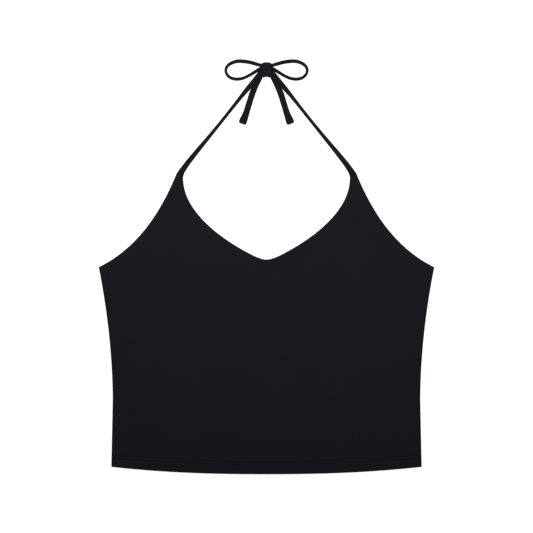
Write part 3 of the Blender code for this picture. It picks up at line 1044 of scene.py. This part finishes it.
# %% The wrap of the knot
KNOT_CENTRE = 235.05  # along Y
KNOT_LENGTH = 18.1  # along Y
KNOT_HEIGHT = 8.9
KNOT_WALL = 1.5
KNOT_INSIDE = 0.5  # from the outer skin to the inner one
KNOT_FRONT = 13.2  # width of the wrap where it shows on top
KNOT_BEHIND = 7.6  # width at its sides and underneath
KNOT_PATH_POWER = 4.0  # of the superellipse that the wrap follows
KNOT_EDGE_POWER = 3.3  # and of its own section
# shares of the half width between which the knot's sides are painted darker, as painted shade
KNOT_SIDE_SHADE = (0.74, 0.98)
UPPER_SPREAD = (0.3, 1.0)  # heights between which the wrap spreads into the pad, at the bow's top
LOWER_SPREAD = (-0.6, 0.4)  # and at the tails
CROWN = 0.5  # how far the pad's middle swells
SINK = 0.4  # how far its edges sink
FOLDS = ((0.16, 3.4, 0.6), (0.1, 9.0, 2.0))  # height, turn over half the width, start
NOTCH = 0.9  # how far the lower edge is drawn up in its middle
NOTCH_REACH = 2.4
LOBE = 0.4  # how far it bulges on both sides of that
NOTCH_SPREAD = (0.55, 0.95)  # from the knot's middle to its lower end
KNOT_RINGS = 96
KNOT_POINTS = 64
WRAP_LENGTH = 50.0  # of tie in the wrap

knot_turn = np.linspace(0.0, -2.0 * math.pi, KNOT_POINTS, endpoint=False)
flat_across, flat_up = superellipse(knot_turn, KNOT_EDGE_POWER)


def knot_rings(wall):
    """Rings along the wrap, from the bow's top over the front. A wall draws them in."""
    rings = []
    for angle in np.linspace(0.0, 2.0 * math.pi, KNOT_RINGS, endpoint=False):
        out_y, out_z = superellipse(angle, KNOT_PATH_POWER)
        on_top = smoothstep(*(UPPER_SPREAD if out_y > 0.0 else LOWER_SPREAD), out_z)
        width = KNOT_BEHIND + (KNOT_FRONT - KNOT_BEHIND) * on_top
        across = flat_across * (width / 2 - wall)
        depth = flat_up * (KNOT_WALL / 2 - wall)
        share = across / (width / 2)
        folds = sum(high * np.sin(turn * share + start) for high, turn, start in FOLDS)
        crown = CROWN * (1.0 - share**2) + folds * (1.0 - share**4) - SINK
        inset = KNOT_WALL / 2 - depth - np.where(depth > 0.0, crown * on_top, 0.0)
        y = KNOT_CENTRE + out_y * (KNOT_LENGTH / 2 - inset)
        notch = NOTCH * near(across, [0.0], NOTCH_REACH) - LOBE * np.sin(np.pi * share) ** 2
        y += notch * smoothstep(*NOTCH_SPREAD, -out_y)
        z = KNOT_HEIGHT / 2 + out_z * (KNOT_HEIGHT / 2 - inset)
        rings.append(np.column_stack((across, y, z)))
    return np.array(rings)


knot_along = np.linspace(0.0, WRAP_LENGTH, KNOT_RINGS + 1)
knot_skins = []
for wall, inwards in ((0.0, False), (KNOT_INSIDE, True)):
    rings = knot_rings(wall)
    knot_skins.append((rings, skin(rings, knot_along, TIE_CUT, closed=True), inwards))
# Painted shade towards the knot's sides.
knot_painted_shading = np.tile(smoothstep(*KNOT_SIDE_SHADE, np.abs(flat_across)), 2 * KNOT_RINGS)
knot_wrap = banded("knot_wrap", knot_skins, knot_painted_shading)

# %% [markdown]
# ## Thread
#
# The seams are sewn with spun polyester thread, dyed the same black. It is a touch smoother
# than the jersey, so it has a lower roughness. Its two plies could be modelled, but a stitch is
# only a third of a millimetre thick, so an uneven shade stands for the twist.

# %% The thread material
THREAD_COLOUR = "#111215"
TWIST = 0.333  # mm between two turns of the thread's twist

spun_polyester, tree, shader = new_material("spun_polyester_thread")
place = add_node(tree, "ShaderNodeTexCoord").outputs["Object"]
twist = {"Vector": place, "Scale": 1 / (TWIST * MM)}
twist = add_node(tree, "ShaderNodeTexNoise", twist)
# Noise swings about 0.5, so the shade swings about 1, and the roughness about 0.65.
shade = add_node(tree, "ShaderNodeMath", {0: twist, 1: 0.6, 2: 0.7}, operation="MULTIPLY_ADD")
colour = {0: linear(THREAD_COLOUR)[:3], "Scale": shade}
colour = add_node(tree, "ShaderNodeVectorMath", colour, operation="SCALE")
rough = add_node(tree, "ShaderNodeMath", {0: twist, 1: 0.2, 2: 0.55}, operation="MULTIPLY_ADD")
tree.links.new(colour.outputs[0], shader.inputs["Base Color"])
tree.links.new(rough.outputs[0], shader.inputs["Roughness"])
shader.inputs["Specular IOR Level"].default_value = 0.1
print("thread:", spun_polyester.name)

# %% [markdown]
# ## Stitches
#
# A twin needle leaves two straight rows of short stitches on the right side. Each one is a
# little grain of thread, sunk in the cloth at both ends. An Array modifier would make them all
# alike, so Geometry Nodes set them along a path: the path becomes a curve, the curve gives evenly
# spaced points, and each point gets a thin grain turned along it, a little longer or shorter than
# its neighbour.

# %% The stitch row's tree
SEED = 7
SHORTEST, LONGEST = 0.88, 1.1  # a stitch against the usual one


def stitch_row_tree():
    """Takes paths of edges and gives a row of grains along each."""
    tree = bpy.data.node_groups.new("stitch_row", "GeometryNodeTree")
    for name, kind in (
        ("Path", "Geometry"),
        ("Pitch", "Float"),
        ("Stitch Length", "Float"),
        ("Thread Width", "Float"),
        ("Seed", "Int"),
        ("Thread", "Material"),
    ):
        tree.interface.new_socket(name, in_out="INPUT", socket_type="NodeSocket" + kind)
    tree.interface.new_socket("Stitches", in_out="OUTPUT", socket_type="NodeSocketGeometry")
    given = add_node(tree, "NodeGroupInput").outputs
    curve = add_node(tree, "GeometryNodeMeshToCurve", {0: given["Path"]})
    spaced = {0: curve, "Length": given["Pitch"]}
    points = add_node(tree, "GeometryNodeCurveToPoints", spaced, mode="LENGTH")
    ball = {"Segments": 8, "Rings": 5, "Radius": 0.5}
    ball = add_node(tree, "GeometryNodeMeshUVSphere", ball)
    size = {0: given["Thread Width"], 1: given["Thread Width"], 2: given["Stitch Length"]}
    size = add_node(tree, "ShaderNodeCombineXYZ", size)
    grain = add_node(tree, "GeometryNodeTransform", {"Geometry": ball, "Scale": size})
    uneven = {2: SHORTEST, 3: LONGEST, "Seed": given["Seed"]}
    uneven = add_node(tree, "FunctionNodeRandomValue", uneven, data_type="FLOAT")
    stretch = add_node(tree, "ShaderNodeCombineXYZ", {0: 1.0, 1: 1.0, 2: uneven})
    turned = {"Rotation": points.outputs["Rotation"], "Scale": stretch}
    placed = {"Points": points, "Instance": grain, **turned}
    grains = add_node(tree, "GeometryNodeInstanceOnPoints", placed)
    real = add_node(tree, "GeometryNodeRealizeInstances", {0: grains})
    smooth = add_node(tree, "GeometryNodeSetShadeSmooth", {0: real})
    thread = {"Geometry": smooth, "Material": given["Thread"]}
    dressed = add_node(tree, "GeometryNodeSetMaterial", thread)
    add_node(tree, "NodeGroupOutput", {0: dressed})
    return tree


stitch_row = stitch_row_tree()
print("tree:", stitch_row.name, "with", len(stitch_row.nodes), "nodes")

# %% [markdown]
# ## Rows of stitches
#
# The tree hangs on a mesh that is nothing but the paths. Its inputs are set by their identifiers
# before anything is evaluated. Then the result is kept as a plain mesh and the modifier goes, so
# that the stitches are real thread wherever the top is taken.

# %% Rows of stitches along paths


def sew(name, paths, pitch, length, width):
    """Stitches along each path of points in millimetres, as one plain mesh."""
    starts = np.cumsum([0] + [len(path) for path in paths])
    edges = [(k, k + 1) for a, b in zip(starts, starts[1:]) for k in range(a, b - 1)]
    piece = add_mesh(name, in_metres(np.vstack(paths)), edges, [])
    path_mesh = piece.data
    modifier = piece.modifiers.new("stitch_row", "NODES")
    modifier.node_group = stitch_row
    values = {
        "Pitch": pitch * MM,
        "Stitch Length": length * MM,
        "Thread Width": width * MM,
        "Seed": SEED,
        "Thread": spun_polyester,
    }
    for socket in stitch_row.interface.items_tree:
        if socket.name in values:
            modifier[socket.identifier] = values[socket.name]
    evaluated = piece.evaluated_get(bpy.context.evaluated_depsgraph_get())
    sewn = bpy.data.meshes.new_from_object(evaluated)
    sewn.materials.pop(index=0)  # the empty slot from before the thread was set
    piece.modifiers.remove(modifier)
    piece.data = sewn
    bpy.data.meshes.remove(path_mesh)
    print(name, len(sewn.polygons), "faces")
    return piece


print("sockets:", ", ".join(item.name for item in stitch_row.interface.items_tree))

# %% [markdown]
# ## Hem stitches
#
# The rows run from side to side at the two heights of the needles. A stitch of 3 mm is usual for
# jersey, because short ones stretch its edge. The stitches could be thrown onto the cloth with a
# Shrinkwrap modifier, but its height is known, so each path simply takes it and adds a hair. The
# front's rows show on top, and the back's underneath.

# %% Hem stitches
HEM_STITCH = {"pitch": 3.0, "length": 2.75, "width": 0.36}
SEAM_END = 2.4  # the rows end this far from the side edges
PATH_POINTS = 500
ON_FRONT = 0.06  # height of the thread's middle above the cloth
UNDER_BACK = 0.05  # and below it


def hem_paths(outside):
    """Paths of the needle rows on a hem, where outside gives the height of the thread."""
    paths = []
    for row in NEEDLE_ROWS:
        half = half_width(row - HEM_DROP + HEM_RISE)
        x = np.linspace(SEAM_END - half, half - SEAM_END, PATH_POINTS)
        u = np.abs(x) / half
        y = row - sewn_height(0.0, u)
        paths.append(np.column_stack((x, y, outside(x, y, u))))
    return paths


def on_front(x, y, u):
    """Height of the thread on the front."""
    return front_surface(x, y, u, np.zeros_like(x))[0] + ON_FRONT


def under_back(x, y, u):
    """Height of the thread under the back."""
    inside, wall, _ = back_surface(x, y, u, np.zeros_like(x))
    return inside - wall - UNDER_BACK


front_hem_stitches = sew("front_hem_stitches", hem_paths(on_front), **HEM_STITCH)
back_hem_stitches = sew("back_hem_stitches", hem_paths(under_back), **HEM_STITCH)

# %% [markdown]
# ## Stitches across the tails
#
# The two rows that close each tail go right through it, so they show above and below. A path of
# their own could miss the cloth, so they take points of the tube's ring where it is pinched, and
# stop short of its side edges.

# %% Tail stitches
TAIL_STITCH = {"pitch": 2.1, "length": 1.9, "width": 0.34}
THREAD_RISE = 0.08  # the thread is sunk this much less than the cloth
TOP = SECTION_POINTS // 2  # point of a ring at the middle of its upper side; 0 is below
SEWN = np.arange(-3, 4)  # points that a row takes, about a middle


def tail_paths(side):
    """Paths of the two rows on a tail, above and below."""
    rows, from_end = stretch_rows("tail")
    pinches = np.full(len(rows), PINCH - THREAD_RISE)
    straight = np.zeros(len(rows))
    rings = tube_rings(rows, straight, pinches, straight, 0.0) * (side, 1.0, 1.0)
    sewn_rings = [rings[int(np.abs(from_end - row).argmin())] for row in TAIL_ROWS]
    return [ring[middle + SEWN] for ring in sewn_rings for middle in (TOP, 0)]


tie_left_stitches = sew("tie_left_stitches", tail_paths(1), **TAIL_STITCH)
tie_right_stitches = sew("tie_right_stitches", tail_paths(-1), **TAIL_STITCH)

# %% [markdown]
# ## Ride and replace
#
# Each soft piece rides on the frame's one body and takes the place of its solid. Cloth has no
# joints, so one body is enough. The stitches ride too.

# %% Ride and replace
for piece, slot, nodes in (
    (front_panel, "smooth_jersey", ["front"]),
    (back_panel, "smooth_jersey", ["back"]),
    (tie_left_band, "jersey_band", ["tie_left"]),
    (tie_right_band, "jersey_band", ["tie_right"]),
    (knot_wrap, "jersey_band", ["bow_knot"]),
    (front_hem_stitches, "smooth_jersey", []),
    (back_hem_stitches, "smooth_jersey", []),
    (tie_left_stitches, "jersey_band", []),
    (tie_right_stitches, "jersey_band", []),
):
    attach(piece, "root")
    if nodes:
        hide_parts(*nodes)

# %% [markdown]
# ## Cut sizes
#
# The panels aren't rectangles, and the inside and the outside of each are a copy of the cut,
# so their sizes are the ones given with the cut above.

# %% Cut sizes


# %% [markdown]
# ## Table
#
# The top lies on a light table, opal acrylic lit from below. A sheet of white paper would do,
# but it would be greyer away from the lamp. This is white all over, and its own light fills the
# shadows that the ties would throw. Far out, a low screen of the same stuff stands round it, so
# that a view from near the table's level is white to its top as well.

# %% Table and screen
TABLE_REACH = 9.0  # m from the middle to the screen
TABLE_DROP = 0.0002  # m below the cloth, so that the two faces don't flicker
SCREEN_HEIGHT = 1.6  # m
SCREEN_SIDES = 64

opal, _, shader = new_material("opal_acrylic")
shader.inputs["Base Color"].default_value = linear("#959595")
shader.inputs["Roughness"].default_value = 0.8
shader.inputs["Specular IOR Level"].default_value = 0.2
shader.inputs["Emission Color"].default_value = linear("#ffffff")
shader.inputs["Emission Strength"].default_value = 0.97

turns = [2 * math.pi * k / SCREEN_SIDES for k in range(SCREEN_SIDES)]
rim = [(TABLE_REACH * math.cos(turn), TABLE_REACH * math.sin(turn)) for turn in turns]
low_rim = [(x, y, -TABLE_DROP) for x, y in rim]
high_rim = [(x, y, SCREEN_HEIGHT) for x, y in rim]
pairs = [(k, (k + 1) % SCREEN_SIDES) for k in range(SCREEN_SIDES)]
panels = [(a, a + SCREEN_SIDES, b + SCREEN_SIDES, b) for a, b in pairs]
for made in (
    add_mesh("white_table", low_rim, [], [range(SCREEN_SIDES)]),
    add_mesh("white_screen", low_rim + high_rim, [], panels),
):
    made.data.materials.append(opal)
print("table", 2 * TABLE_REACH, "m wide, screen", SCREEN_HEIGHT, "m high")

# %% [markdown]
# ## Light
#
# One broad soft light hangs over the neck, lower than the camera, so the cloth is brightest at
# the horns and falls off gently towards the hem. A sun lamp would light both alike. It is a hair
# warmer than white. The pale room fills in the rest.

# %% Light
LIGHT_PLACE = (0.0, 0.175, 0.65)  # m
LIGHT_SIZE = (0.9, 0.3)  # m
LIGHT_POWER = 4.5  # W
LIGHT_COLOUR = "#fffffd"
ROOM_COLOUR = "#ffffff"
ROOM_STRENGTH = 0.16

lamp_data = bpy.data.lights.new("softbox_over_the_neck", "AREA")
lamp_data.shape = "RECTANGLE"
lamp_data.size, lamp_data.size_y = LIGHT_SIZE
lamp_data.energy = LIGHT_POWER
lamp_data.color = linear(LIGHT_COLOUR)[:3]
lamp = bpy.data.objects.new("softbox_over_the_neck", lamp_data)
lamp.location = LIGHT_PLACE
lamp.visible_camera = False
bpy.context.scene.collection.objects.link(lamp)

world = bpy.data.worlds.new("pale_room")
world.use_nodes = True
background = world.node_tree.nodes["Background"].inputs
background["Color"].default_value = linear(ROOM_COLOUR)
background["Strength"].default_value = ROOM_STRENGTH
bpy.context.scene.world = world
print("light", LIGHT_POWER, "W, room", ROOM_STRENGTH)
